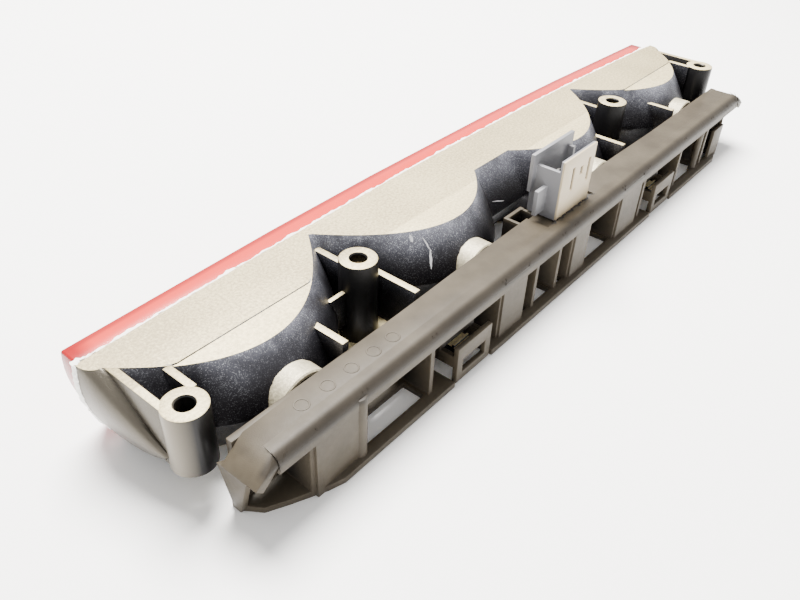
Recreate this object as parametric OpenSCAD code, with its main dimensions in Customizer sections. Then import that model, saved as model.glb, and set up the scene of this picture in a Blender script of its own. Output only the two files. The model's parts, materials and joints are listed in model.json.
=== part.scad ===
// Third brake light: a bowed red lens welded to a four-bowl reflector housing, with a
// plastic carrier clipped behind it that holds four wedge bulbs, their contact tracks
// and the electrical connector.
//
// Every module works in the lamp frame: y = 0 is the middle of the lens face and y grows
// towards the back, z = 0 is the housing's upper face and everything below it is negative.
// place() moves that frame so that the part's own origin is under the middle of its box.

/* [Housing] */
// Distance between the two inner bulbs
inner_pitch = 82.5; // [78:0.1:100]
// Distance from an inner bulb to the outer bulb beside it
outer_pitch = 83.6; // [69:0.1:102]
// Distance from an outer bulb to the end wall at its widest
end_reach = 41.4; // [34:0.1:50]
// Height from the upper plate to the lower plate
housing_height = 32; // [30:0.1:40]
// Distance from the lens face to the back edge of a bowl's upper plate
bowl_depth = 42.5; // [35:0.1:52]
// Focal length of the bowls' curve
bowl_focus = 15.06; // [14.5:0.01:18]
// How far a bowl's back wall flares rearwards by mid height
bowl_flare = 10; // [8:0.5:11]
// Further flare of the cheek at each end, which carries the end boss
cheek_flare = 13.2; // [8:0.2:14]
// Wall thickness of the plates
plate_wall = 2; // [1.6:0.1:3]
// Wall thickness of the bowls, measured along the lamp's depth
bowl_wall = 2.9; // [2.2:0.1:3.5]
// Depth of the recess between the two inner bowls
recess = 15; // [9:0.5:18]
// How far the end walls draw in from their widest level to the lower plate
end_draw = 8.4; // [4:0.1:12]

/* [Lens] */
// Radius of the lens face's bow along the lamp
bow_radius = 2836; // [1500:1:6000]
// Depth from the lens face to the seam with the housing
lens_depth = 9.4; // [7:0.1:14]
// Wall thickness of the lens
lens_wall = 2.2; // [1.6:0.1:3]
// How far the lens stands in from the housing's outline
lens_inset = 1.4; // [0.5:0.1:3]
// Width of the adhesive bead in the seam
bead_width = 1.6; // [1:0.1:2.5]

/* [Bosses and mounts] */
// Diameter of the screw holes
screw_hole = 5.2; // [4:0.1:6.5]
// Outer diameter of the bosses
boss_diameter = 12.4; // [10:0.1:15]
// Distance of each end boss in from the lamp's end
end_boss_inset = 10.4; // [9:0.1:13]
// How far the end bosses stand behind the bowls' back edge
end_boss_set = 2.9; // [2:0.1:5]
// Height of the end bosses
end_boss_height = 20; // [18:0.5:28]
// How far the middle bosses stand in front of the bowls' back edge
mid_boss_inset = 7.3; // [5:0.1:9]
// Height by which the middle bosses stand above the upper plate
mid_boss_rise = 0.7; // [0:0.1:3]
// Diameter of the thread in the inserts of the middle bosses
insert_thread = 3.3; // [2.5:0.1:4.2]
// Length of a threaded insert
insert_length = 8; // [5:0.5:12]
// Depth of an insert below the boss's face
insert_depth = 3; // [0.5:0.5:4]
// Thickness of the ribs between walls and bosses
rib_wall = 2.4; // [1.6:0.1:3]

/* [Bulbs] */
// How far the bulbs stand below the housing's mid height
bulb_offset = 1.5; // [0:0.1:2]
// Diameter of a bulb's glass
bulb_diameter = 10; // [8.4:0.1:12]
// Length of a bulb from its tip to the end of its wedge base
bulb_length = 26.3; // [24:0.1:28]
// Length of the wedge base
wedge_length = 9.5; // [8:0.1:10]
// Thickness of the wedge base
wedge_thick = 2.6; // [2:0.1:3.2]
// Width of the wedge base
wedge_width = 9.2; // [8:0.1:9.6]
// Wall thickness of the glass
glass_wall = 0.7; // [0.5:0.1:1]
// Diameter of the lead wires
lead_wire = 0.5; // [0.4:0.05:0.6]

/* [Carrier] */
// How far the lower rail reaches below the housing
foot_drop = 1; // [0.5:0.5:6]
// How far the lower rail reaches behind the upper rail
foot_set = 2; // [1.5:0.1:6]
// Level of the upper rail below the housing's upper face
rail_drop = 7; // [5:0.5:8]
// Distance from the bowls' back edge to the upper rail's front edge
rail_gap = 12.1; // [12:0.1:16]
// Width of the upper rail from its front edge to its rounded back
rail_width = 15.4; // [15:0.1:18]
// Radius of the rounded back of the upper rail
rail_round = 3.5; // [2:0.1:4]
// Thickness of the rails, the web and the end walls
carrier_wall = 2.2; // [1.6:0.1:2.6]
// How far the upper rail's level stretch ends in from the lamp's end
rail_inset = 17.2; // [14:0.1:22]
// Length of the sloping tip at each end of the upper rail
rail_tip = 7.6; // [5:0.1:10]
// Wall thickness of a bulb cup
cup_wall = 1.6; // [1.2:0.1:2]
// Length of a bulb cup in front of the web
cup_length = 9.9; // [8:0.1:12]
// Distance along the lamp from an inner bulb to the latch beside it
latch_offset = 27.8; // [26:0.1:30]

/* [Connector] */
// Outside length of the connector shell
shell_length = 22.5; // [20:0.1:26]
// Outside depth of the connector shell
shell_depth = 12; // [11:0.1:12.4]
// Height of the connector's top above the housing's upper face
shell_top = 15.1; // [10:0.1:20]
// Wall thickness of the connector shell
shell_wall = 1.5; // [1.2:0.1:1.8]
// Distance between the two contact pins
pin_pitch = 8; // [6:0.1:10]
// Thickness of the contact strips and pins
strip_thick = 0.6; // [0.4:0.1:0.7]

/* [Fits] */
// Gap around a bulb cup inside its collar
cup_gap = 0.5; // [0.4:0.05:1]
// Gap all round a bulb's glass inside its cup
bulb_gap = 1.4; // [1:0.1:2]
// Gap between a catch and the latch bar above it
latch_gap = 0.25; // [0.2:0.05:0.4]
// Gap beside a latch in the lower rail and the web
move_gap = 1; // [0.6:0.1:1.4]

/* [Hidden] */

// Overall places
inner_x = inner_pitch / 2;
outer_x = inner_x + outer_pitch;
cusp_x = (inner_x + outer_x) / 2;
half_length = outer_x + end_reach;
bulb_x = [-outer_x, -inner_x, inner_x, outer_x];
mid_level = -housing_height / 2;
bulb_level = mid_level - bulb_offset;
widest_drop = 7;
recess_depth = bowl_depth - recess;
end_boss_x = half_length - end_boss_inset;
end_boss_depth = bowl_depth + end_boss_set;
mid_boss_depth = bowl_depth - mid_boss_inset;
rail_front = bowl_depth + rail_gap;
rail_back = rail_front + rail_width;
overall_depth = rail_back + foot_set;
overall_drop = housing_height + foot_drop;

// Bulb and collar places, all tied to the web that the cups stand on
web_front = rail_front + 0.3;
web_back = web_front + carrier_wall;
wedge_end = web_back - 0.7;
bulb_tip = wedge_end - bulb_length;
cup_radius = bulb_diameter / 2 + bulb_gap;
collar_bore = cup_radius + cup_wall + cup_gap;
collar_radius = collar_bore + 1.7;
collar_end = web_front - 0.9;

// Contact strips lie against the back of the web, one above and one below the bulbs
finger_gap = 0.2;
finger_offset = wedge_thick / 2 + lead_wire + finger_gap;
finger_thick = 0.4;
finger_length = 6.5;
finger_width = 5;
strip_height = 2.6;
strip_end = 6;
channel_depth = 2.4;
channel_half = 6.2;
stake_x = [-cusp_x - 17, -inner_x - 15, 22, inner_x + 15, cusp_x + 17];
stake_offset = 4.2;
stake_radius = 1;

// Carrier frame
rail_half = half_length - rail_inset;
rail_lip = rail_drop + rail_round + 2.3;
rail_bow = 4386;
upright_wall = 1.9;
upright_back = overall_depth - 0.5;
notch_half = 16.4;
tip_drop = 5.3;
end_foot = rail_half + 4.4;

// Cross ribs from one end of the carrier to the other; the latches stand in two of the bays
rib_x = [-outer_x - 12, -outer_x + 7, -cusp_x - 5, -inner_x - 11, -inner_x + 11, -5, 6, 15,
         inner_x - 11, inner_x + 11, cusp_x + 5, outer_x - 7, outer_x + 12];

// Latches and the catches they close over
latch_x = inner_x + latch_offset;
latch_half = 9;
latch_wall = 1.8;
catch_half = 4;
catch_top = -housing_height + 8;
catch_height = 5.6;
nose_height = 0.9;
catch_end = overall_depth - 4;
latch_root = web_back + 0.3;
arm_top = bulb_level - finger_offset - strip_height - 0.4;
latch_bar = catch_top + nose_height + latch_gap;
latch_bar_height = 2;
latch_back = overall_depth - 0.5;

// Connector
shell_left = -11.8;
shell_front = web_front + 1 - shell_depth / 2 + 1.1;
shell_back = shell_front + shell_depth;
shell_floor = -rail_drop - 0.5;
pin_y = (shell_front + shell_back) / 2;
pin_width = 2.4;
pin_thick = 0.8;
pin_top = 8;
pin_middle = shell_left + shell_length / 2;

// Steps along one level of the housing, bowl by bowl
bowl_steps = 8;
corner_steps = 3;
corner_reach = 4;

module place() translate([0, -overall_depth / 2, overall_drop]) children();

// ---- outlines ----------------------------------------------------------------------

// Depth that the bow adds at a distance x from the middle
function bow(x) = bow_radius - sqrt(bow_radius * bow_radius - x * x);
function seam(x) = lens_depth + bow(x);

// Half the lamp's length at a depth below the upper plate
function end_x(drop) = half_length
    - end_draw * pow((drop - widest_drop) / (housing_height - widest_drop), 2);

// Back edge of the upper plate: the deepest of the bowls' parabolas, or the recess wall
least_plate = 2.5;
function bowls(x) = max(seam(x) + least_plate,
    max([for (c = bulb_x) bowl_depth - (x - c) * (x - c) / (4 * bowl_focus)]));
recess_half = inner_x - sqrt(recess * 4 * bowl_focus);
function plate_edge(x) = abs(x) < recess_half ? recess_depth : bowls(x);

// The walls flare rearwards towards mid height, and further on the cheek at each end
function swell(drop) = 1 - pow(abs(1 - 2 * drop / housing_height), 1.15);
function cheek(x, drop, inset) = let (reach = 12)
    pow(max(0, abs(x) - (end_x(drop) - inset - corner_reach - reach)) / reach, 2);
function flank(x, drop, inset) = plate_edge(x) - inset * bowl_wall / plate_wall
    + swell(drop) * (bowl_flare + cheek_flare * cheek(x, drop, inset));

// Marks where the curves change, and the x of every step between them
function marks(drop, inset) = let (last = end_x(drop) - inset - corner_reach)
    [-last, -cusp_x, -recess_half, recess_half, cusp_x, last];
function steps(i) = i == 2 ? 2 : bowl_steps;
function stations(drop, inset) = let (m = marks(drop, inset))
    concat([for (i = [0:4]) for (s = [0:steps(i) - 1]) m[i] + (m[i + 1] - m[i]) * s / steps(i)],
           [m[5]]);

// Rounded corner from the last station round to the end wall
function corner(drop, inset) = let (last = end_x(drop) - inset - corner_reach,
                                    foot = seam(half_length) + 0.4 + 3.5 * swell(drop),
                                    top = flank(last, drop, inset))
    [for (i = [1:corner_steps]) let (a = 90 * i / corner_steps)
        [last + corner_reach * sin(a), foot + (top - foot) * cos(a)]];

// Back edge of one level from -X to +X with its corners
function back_edge(drop, inset) = let (right = corner(drop, inset))
    concat([for (i = [corner_steps - 1:-1:0]) [-right[i][0], right[i][1]]],
           [for (x = stations(drop, inset)) [x, flank(x, drop, inset)]],
           right);

// Solid skinned over a stack of levels, each a strip between its back edge and the seam
module stack(drops, inset, front) {
    edges = [for (d = drops) back_edge(d, inset)];
    n = len(edges[0]);
    last = len(drops) - 1;
    points = [for (k = [0:last]) each concat(
        [for (p = edges[k]) [p[0], p[1], -drops[k]]],
        [for (i = [n - 1:-1:0]) [edges[k][i][0], seam(edges[k][i][0]) - front, -drops[k]]])];
    count = 2 * n;
    sides = [for (k = [0:last - 1]) for (i = [0:count - 1]) let (j = (i + 1) % count, low = k * count)
        each [[low + i, low + count + j, low + j], [low + i, low + count + i, low + count + j]]];
    lid = [for (i = [0:n - 2]) [i, i + 1, count - 2 - i, count - 1 - i]];
    base = [for (f = lid) [for (i = [3:-1:0]) last * count + f[i]]];
    polyhedron(points, concat(lid, sides, base), convexity = 10);
}

function drops(top, bottom) = let (shares = [0, 0.25, 0.5, 0.75, 1])
    [for (s = shares) top + (bottom - top) * s];

// Outline of the lamp from the front, drawn in x and z
module front_outline(inset) {
    levels = 10;
    side = [for (i = [0:levels]) let (drop = inset + (housing_height - 2 * inset) * i / levels)
        [end_x(drop) - inset, -drop]];
    polygon(concat(side, [for (i = [levels:-1:0]) [-side[i][0], side[i][1]]]));
}

// Slab between two depths that follows the bow
module bowed(near, far, radius) {
    height = housing_height + 20;
    translate([0, 0, -height + 5]) linear_extrude(height) difference() {
        translate([0, near + radius]) circle(radius, $fn = 1440);
        translate([0, far + radius]) circle(radius, $fn = 1440);
    }
}

module bowed_block(near, far, inset) intersection() {
    translate([0, far + 20, 0]) rotate([90, 0, 0]) linear_extrude(far - near + 40)
        front_outline(inset);
    bowed(near, far, bow_radius);
}

// Cylinder along the lamp's depth
module along_y(radius, from, to, x, z, sides = 64)
    translate([x, to, z]) rotate([90, 0, 0]) cylinder(r = radius, h = to - from, $fn = sides);

module box(low, high) translate(low) cube(high - low);

module both_sides() {
    children();
    mirror([1, 0, 0]) children();
}

// ---- housing -----------------------------------------------------------------------

module boss(x, y, top, bottom) translate([x, y, bottom])
    cylinder(d = boss_diameter, h = top - bottom, $fn = 64);

module screw_bore(x, y, top, bottom) translate([x, y, bottom])
    cylinder(d = screw_hole, h = top - bottom, $fn = 48);

module housing_ribs() {
    boss_r = boss_diameter / 2;
    // ribs that tie each end boss to the end cheek, with an open pocket between them
    both_sides() {
        box([end_boss_x + 3.1, bowl_depth - 22, mid_level],
            [end_boss_x + 3.1 + rib_wall, end_boss_depth, 0]);
        box([end_boss_x - boss_r, bowl_depth - 11, mid_level],
            [end_boss_x - boss_r + rib_wall, end_boss_depth - 3, 0]);
    }
    // gusset, side rib and foot of each middle boss
    rib_foot = -housing_height + 10;
    both_sides() {
        box([cusp_x - rib_wall / 2, seam(cusp_x) + 4, -housing_height + plate_wall],
            [cusp_x + rib_wall / 2, mid_boss_depth - boss_r + 1, -4]);
        box([cusp_x + boss_r - 1, mid_boss_depth - 1.2, rib_foot],
            [cusp_x + 13, mid_boss_depth + 0.4, -9]);
        box([cusp_x - 14, mid_boss_depth - 11, -housing_height + plate_wall],
            [cusp_x + 14, mid_boss_depth + 12, -housing_height + 2 * plate_wall]);
    }
    // ribs from the bowls towards the carrier
    for (x = [-outer_x + 16, -cusp_x + 23, cusp_x - 6, outer_x - 16])
        box([x - rib_wall / 2, bowl_depth - 8, rib_foot], [x + rib_wall / 2, collar_end, -6]);
}

// Catches that the carrier's latches close over, each with a nose on its end
module catches() both_sides() {
    box([latch_x - catch_half, bowl_depth - 12, catch_top - catch_height],
        [latch_x + catch_half, catch_end, catch_top]);
    translate([latch_x - catch_half, 0, 0]) rotate([90, 0, 90]) linear_extrude(2 * catch_half)
        polygon([[catch_end - 2.6, catch_top - 0.1], [catch_end - 2.6, catch_top + nose_height],
                 [catch_end - 1.8, catch_top + nose_height], [catch_end, catch_top - 0.1]]);
}

module housing() color([0.72, 0.69, 0.62]) place() difference() {
    union() {
        stack(drops(0, housing_height), 0, 0);
        for (x = bulb_x) along_y(collar_radius, bowl_depth, collar_end, x, bulb_level);
        housing_ribs();
        catches();
        both_sides() {
            boss(end_boss_x, end_boss_depth, 0, -end_boss_height);
            boss(cusp_x, mid_boss_depth, mid_boss_rise, -housing_height + 3);
        }
    }
    stack(drops(plate_wall, housing_height - plate_wall), plate_wall, 6);
    for (x = bulb_x) along_y(collar_bore, recess_depth, collar_end + 1, x, bulb_level);
    both_sides() {
        screw_bore(end_boss_x, end_boss_depth, 1, -end_boss_height - 1);
        screw_bore(cusp_x, mid_boss_depth, mid_boss_rise + 1, -insert_depth - insert_length - 3);
    }
}

// ---- lens and its seam -------------------------------------------------------------

module lens() color([0.80, 0.10, 0.10]) place() difference() {
    bowed_block(0, lens_depth - bead_width / 2, lens_inset);
    bowed_block(lens_wall, lens_depth + 5, lens_inset + lens_wall);
}

module seam_bead() color([0.93, 0.92, 0.88]) place() difference() {
    bowed_block(lens_depth - bead_width / 2, lens_depth, lens_inset - 0.6);
    bowed_block(lens_depth - bead_width, lens_depth + 5, lens_inset + lens_wall);
}

module insert(x) color([0.75, 0.62, 0.32]) place()
    translate([x, mid_boss_depth, mid_boss_rise - insert_depth - insert_length]) difference() {
        cylinder(d = screw_hole + 0.06, h = insert_length, $fn = 48);
        translate([0, 0, -1]) cylinder(d = insert_thread, h = insert_length + 2, $fn = 48);
    }

// ---- carrier -----------------------------------------------------------------------

// Rounded back edge of the upper rail, as points of depth and level
function rail_nose(step) = [for (a = [90:-step:0])
    [rail_back - rail_round + rail_round * cos(a), -rail_drop - rail_round + rail_round * sin(a)]];

// Upper rail: a level strip with a rounded, turned-down back edge and sloping tips
module upper_rail() intersection() {
    half = rail_half + rail_tip;
    translate([-half, 0, 0]) rotate([90, 0, 90]) linear_extrude(2 * half)
        polygon(concat([[rail_front - 2, -rail_drop]], rail_nose(10),
            [[rail_back, -rail_lip - tip_drop], [rail_front - 2, -rail_lip - tip_drop]]));
    rail_silhouette();
    bowed(rail_front, rail_back + 20, rail_bow);
}

// The rail's thickness seen from the back: a strip that bends down at both ends
module rail_silhouette() translate([0, overall_depth + 10, 0]) rotate([90, 0, 0])
    linear_extrude(overall_depth) {
        over = [[rail_half, -rail_drop], [rail_half + rail_tip, -rail_drop - tip_drop]];
        under = [[rail_half + rail_tip - carrier_wall, -rail_drop - tip_drop - carrier_wall],
                 [rail_half - 1, -rail_drop - carrier_wall]];
        polygon(concat(over, under,
                       [for (i = [1, 0]) [-under[i][0], under[i][1]]],
                       [for (i = [1, 0]) [-over[i][0], over[i][1]]]));
    }

// Turned-down lip along the back of the upper rail
module rail_lip_strip() intersection() {
    translate([-rail_half, 0, 0]) rotate([90, 0, 90]) linear_extrude(2 * rail_half)
        polygon(concat(rail_nose(15),
                       [[rail_back, -rail_lip], [rail_back - carrier_wall + 0.2, -rail_lip],
                        [rail_back - carrier_wall + 0.2, -rail_drop - rail_round],
                        [rail_back - rail_round, -rail_drop - carrier_wall]]));
    bowed(rail_front, rail_back + 20, rail_bow);
}

// End wall below each sloping tip, cut back at a slant towards the lower rail
module end_wall(side) mirror([side < 0 ? 1 : 0, 0, 0]) intersection() {
    translate([0, overall_depth, 0]) rotate([90, 0, 0]) linear_extrude(overall_depth)
        polygon([[rail_half + rail_tip, -rail_drop - tip_drop], [end_foot, -overall_drop],
                 [end_foot - carrier_wall, -overall_drop],
                 [rail_half + rail_tip - carrier_wall, -rail_drop - tip_drop - 1]]);
    translate([rail_half - 5, 0, 0]) rotate([90, 0, 90]) linear_extrude(rail_tip + 10)
        polygon([[rail_front + 1.2, -rail_drop - tip_drop], [rail_back - rail_round, -rail_drop - tip_drop],
                 [web_front + 3.4, -overall_drop], [rail_front + 1.2, -overall_drop]]);
}

// Outline of the lower rail from above, with its ends cut back at a slant
module rail_outline() {
    side = [[end_foot, web_front], [end_foot, web_front + 2.3], [end_foot - 4, web_front + 8.1],
            [end_foot - 10, overall_depth - 6], [end_foot - 20, overall_depth - 1.5],
            [end_foot - 25, overall_depth]];
    polygon(concat(side, [for (i = [len(side) - 1:-1:0]) [-side[i][0], side[i][1]]]));
}

// Lower rail: a shelf with a window in every bay that has no latch, and a gap for each latch
module lower_rail() translate([0, 0, -overall_drop]) linear_extrude(carrier_wall) difference() {
    rail_outline();
    for (i = [0:len(rib_x) - 2]) if (abs(abs(rib_x[i] + rib_x[i + 1]) / 2 - latch_x) > latch_half)
        translate([rib_x[i] + upright_wall, web_back + 3])
            square([rib_x[i + 1] - rib_x[i] - 2 * upright_wall, 8]);
    for (x = [-latch_x, latch_x])
        translate([x - latch_half - move_gap, web_back + 0.6])
            square([2 * latch_half + 2 * move_gap, overall_depth]);
}

// Web that carries the cups, with windows between them
module web() difference() {
    box([-end_foot + 1, web_front, -overall_drop], [end_foot - 1, web_back, -rail_drop - 1]);
    for (x = bulb_x) along_y(cup_radius, web_front - 1, web_back + 1, x, bulb_level);
    window_top = bulb_level - finger_offset - strip_height - 0.5;
    for (w = [[-outer_x - 23, -outer_x - 14], [-cusp_x - 21, -cusp_x - 9], [22, 27],
              [cusp_x + 9, cusp_x + 21], [outer_x + 14, outer_x + 23]])
        box([w[0], web_front - 1, -overall_drop + 4], [w[1], web_back + 1, window_top]);
    for (x = [-latch_x, latch_x])
        box([x - catch_half - move_gap, web_front - 1, catch_top - catch_height - move_gap],
            [x + catch_half + move_gap, web_back + 1, catch_top + nose_height + 0.6]);
}

module cups() for (x = bulb_x)
    along_y(cup_radius + cup_wall, web_front - cup_length, web_front + 0.5, x, bulb_level);

module cup_bores() for (x = bulb_x)
    along_y(cup_radius, web_front - cup_length - 1, web_back + 0.01, x, bulb_level);

// Ribs that stand across the carrier from the web to the back
module cross_ribs() intersection() {
    for (x = rib_x)
        box([x - upright_wall / 2, web_front + 1, -overall_drop],
            [x + upright_wall / 2, rail_back - 0.8, -rail_drop - 1]);
    translate([0, 0, -overall_drop]) linear_extrude(overall_drop) rail_outline();
}

// Upright plates along the back, given as their two ends and their drop below the upper rail
module uprights() {
    for (u = [[outer_x - 4, outer_x + 12, 5], [inner_x - 3, inner_x + 11, 2], [-5, 6, 5],
              [-inner_x - 6, -inner_x + 11, 2], [-outer_x - 12, -outer_x - 1, 10]])
        box([u[0], upright_back - upright_wall - 1, -overall_drop], [u[1], rail_back, -rail_drop - u[2]]);
    post_height = overall_drop - rail_drop - 2;
    translate([outer_x - 5.4, rail_back - 1.6, -overall_drop]) cylinder(r = 2.4, h = post_height, $fn = 40);
    translate([-outer_x + 13, rail_back - 2, -overall_drop]) cylinder(r = 1.6, h = post_height, $fn = 40);
}

// Thin-walled pocket that stands in front of the web beside the connector, open above and below
module pocket() {
    wall = 1.4;
    low = [9.5, web_front - 7.2, -20];
    high = [20.5, web_front + 1, -rail_drop - 1];
    difference() {
        box(low, high);
        box(low + [wall, wall, -1], high + [-wall, -wall, 1]);
    }
}

// Space kept clear for the connector in the upper rail
module connector_notch() {
    box([-notch_half, rail_front - 5, -rail_drop - 1.2], [notch_half, shell_back + 0.4, 5]);
    box([shell_left - 0.01, rail_front - 5, shell_floor - 0.01],
        [shell_left + shell_length + 0.01, shell_back + 0.01, 5]);
}

// Channel behind the web in which the contact strips lie
module strip_channel() box([-end_foot + 8, web_back, bulb_level - channel_half],
                           [end_foot - 8, web_back + channel_depth, bulb_level + channel_half]);

module stakes() for (x = stake_x) for (z = [-stake_offset, stake_offset])
    along_y(stake_radius, web_back - 1, web_back + strip_thick + 0.9, x, bulb_level + z, 32);

// Slots that let the connector's pins pass down behind the web
module pin_slots() box([pin_middle - pin_pitch / 2 - pin_width, web_back - 0.8, bulb_level + 1],
                       [pin_middle + pin_pitch / 2 + pin_width, web_back + channel_depth, -rail_drop + 1]);

module carrier() color([0.30, 0.27, 0.24]) place() {
    difference() {
        union() {
            upper_rail();
            rail_lip_strip();
            end_wall(1);
            end_wall(-1);
            lower_rail();
            web();
            cups();
            cross_ribs();
            uprights();
            pocket();
        }
        cup_bores();
        connector_notch();
        strip_channel();
        pin_slots();
    }
    stakes();
}

// Flexing latch: two arms from the web, a bar that snaps over the catch, and a finger tab
module latch(side) color([0.34, 0.31, 0.28]) place() translate([side * latch_x, 0, 0]) {
    for (x = [-latch_half, latch_half - latch_wall])
        box([x, latch_root, latch_bar - 4], [x + latch_wall, latch_back, arm_top]);
    box([-latch_half, catch_end - 5.4, latch_bar],
        [latch_half, catch_end - 3.4, latch_bar + latch_bar_height]);
    difference() {
        box([-latch_half, latch_back - latch_wall, -overall_drop + 0.5],
            [latch_half, latch_back, latch_bar + latch_bar_height + 2]);
        box([-latch_half + 3, latch_back - latch_wall - 1, -overall_drop + 3.5],
            [latch_half - 3, latch_back + 1, latch_bar - 1.5]);
    }
}

// ---- electrical pieces -------------------------------------------------------------

// Open-topped header for the loom's plug, with keying slots in its back wall
module connector_shell() color([0.68, 0.70, 0.72]) place() {
    right = shell_left + shell_length;
    difference() {
        union() {
            box([shell_left, shell_front, shell_floor], [right, shell_back, shell_top]);
            box([shell_left - 2.5, shell_front, 1], [right + 2.2, shell_front + shell_wall, shell_top]);
        }
        box([shell_left + shell_wall, shell_front + shell_wall, shell_floor + 2],
            [right - shell_wall, shell_back - shell_wall, shell_top + 1]);
        // end walls stop short of the long walls
        box([shell_left - 1, shell_front + shell_wall, 11],
            [right + 1, shell_back - shell_wall, shell_top + 1]);
        box([shell_left - 1, shell_front + 4, 7], [shell_left + shell_wall + 1, shell_back - 4, shell_top]);
        // keying slots in the back wall
        for (x = [2.2, -9])
            box([x, shell_back - shell_wall - 1, 1.5], [x + 1.7, shell_back + 1, 10.5]);
        box([-3.8, shell_back - shell_wall - 1, 6], [-2, shell_back + 1, 9]);
        // bores for the two pins
        for (x = [-pin_pitch / 2, pin_pitch / 2])
            box([pin_middle + x - pin_width / 2, pin_y - pin_thick / 2, shell_floor - 1],
                [pin_middle + x + pin_width / 2, pin_y + pin_thick / 2, shell_floor + 3]);
    }
    // guide tab on the near end
    box([right - 1, pin_y - 0.8, -5], [right + 6, pin_y + 0.8, 4.5]);
}

// Flat strip behind the web with a pair of fingers turned forwards into every cup
module track(level_sign) place() {
    strip_low = level_sign > 0 ? bulb_level + finger_offset : bulb_level - finger_offset - strip_height;
    difference() {
        box([-outer_x - strip_end, web_back, strip_low],
            [outer_x + strip_end, web_back + strip_thick, strip_low + strip_height]);
        for (x = stake_x)
            along_y(stake_radius, web_back - 1, web_back + 3, x, bulb_level + level_sign * stake_offset, 32);
    }
    finger_low = level_sign > 0 ? bulb_level + finger_offset : bulb_level - finger_offset - finger_thick;
    for (x = bulb_x)
        box([x - finger_width / 2, web_back - finger_length, finger_low],
            [x + finger_width / 2, web_back + 0.1, finger_low + finger_thick]);
}

module track_live() color([0.80, 0.65, 0.35]) track(1);
module track_earth() color([0.78, 0.63, 0.36]) track(-1);

module pin_live() color([0.85, 0.80, 0.68]) place() {
    x = pin_middle - pin_pitch / 2;
    strip_top = bulb_level + finger_offset + strip_height;
    box([x - pin_width / 2, pin_y - pin_thick / 2, strip_top],
        [x + pin_width / 2, pin_y + pin_thick / 2, pin_top]);
}

module pin_earth() color([0.85, 0.80, 0.68]) place() {
    x = pin_middle + pin_pitch / 2;
    left = x - pin_width / 2;
    right = x + pin_width / 2;
    behind = web_back + strip_thick + 0.4;
    jog = bulb_level + finger_offset + strip_height + 1;
    foot = bulb_level - finger_offset - strip_height;
    box([left, pin_y - pin_thick / 2, jog], [right, pin_y + pin_thick / 2, pin_top]);
    box([left, pin_y - pin_thick / 2, jog], [right, behind + pin_thick, jog + pin_thick]);
    box([left, behind, foot], [right, behind + pin_thick, jog + pin_thick]);
    box([left, web_back + strip_thick, foot], [right, behind + pin_thick, foot + 1.5]);
}

// ---- bulbs -------------------------------------------------------------------------

bulb_r = bulb_diameter / 2;
glass_base = wedge_end - wedge_length;
dome_y = bulb_tip + bulb_r;

// Half section of the glass, drawn as radius and depth, for the outside or the hollow
module glass_section(shrink) {
    r = bulb_r - shrink;
    polygon(concat([for (a = [90:-15:0]) [r * cos(a), -dome_y + r * sin(a)]],
                   [[r, -glass_base + 2 + shrink], [r * 0.55, -glass_base - 1 + 2.4 * shrink],
                    [0, -glass_base - 1 + 2.4 * shrink]]));
}

module spun(x) translate([x, 0, bulb_level]) rotate([90, 0, 0])
    rotate_extrude($fn = 48) children();

module bulb(i) color([0.85, 0.90, 0.92, 0.4]) place() difference() {
    union() {
        spun(bulb_x[i]) glass_section(0);
        box([bulb_x[i] - wedge_width / 2, glass_base, bulb_level - wedge_thick / 2],
            [bulb_x[i] + wedge_width / 2, wedge_end, bulb_level + wedge_thick / 2]);
    }
    spun(bulb_x[i]) glass_section(glass_wall);
}

// Coiled filament on its two posts, which stand on the glass seal
module filament(i) color([0.55, 0.55, 0.58]) place() {
    post = 0.3;
    coil_y = bulb_tip + 9;
    for (s = [-1, 1])
        along_y(post, coil_y - 0.4, glass_base + 1 - 2.4 * glass_wall, bulb_x[i] + s * 2.2, bulb_level, 24);
    translate([bulb_x[i] - 2.8, coil_y, bulb_level]) rotate([0, 90, 0]) cylinder(r = 0.55, h = 5.6, $fn = 32);
}

// Lead wires folded back along both faces of the wedge
module leads(i) color([0.60, 0.60, 0.60]) place() for (s = [-1, 1])
    along_y(lead_wire / 2, glass_base + 2.2, wedge_end, bulb_x[i] + s * 1.2,
            bulb_level + s * (wedge_thick / 2 + lead_wire / 2), 24);

// ---- nodes -------------------------------------------------------------------------

housing();
lens();
seam_bead();
insert(-cusp_x);  // insert_left
insert(cusp_x);  // insert_right
carrier();
latch(-1);  // latch_left
latch(1);  // latch_right
connector_shell();
pin_live();
pin_earth();
track_live();
track_earth();
bulb(0);  // bulb_1
bulb(1);  // bulb_2
bulb(2);  // bulb_3
bulb(3);  // bulb_4
filament(0);  // filament_1
filament(1);  // filament_2
filament(2);  // filament_3
filament(3);  // filament_4
leads(0);  // leads_1
leads(1);  // leads_2
leads(2);  // leads_3
leads(3);  // leads_4
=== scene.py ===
"""Third brake light seen from above its back: the looks of every piece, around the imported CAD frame.

Sizes are in millimetres in the lamp's own frame: y = 0 on the lens face and growing rearwards,
z = 0 on the housing's upper plate. `piece` turns each finished mesh into metres in the shared frame.
"""

import json
import math

import bmesh
import bpy
from mathutils import Matrix, Quaternion, Vector, noise

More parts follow.
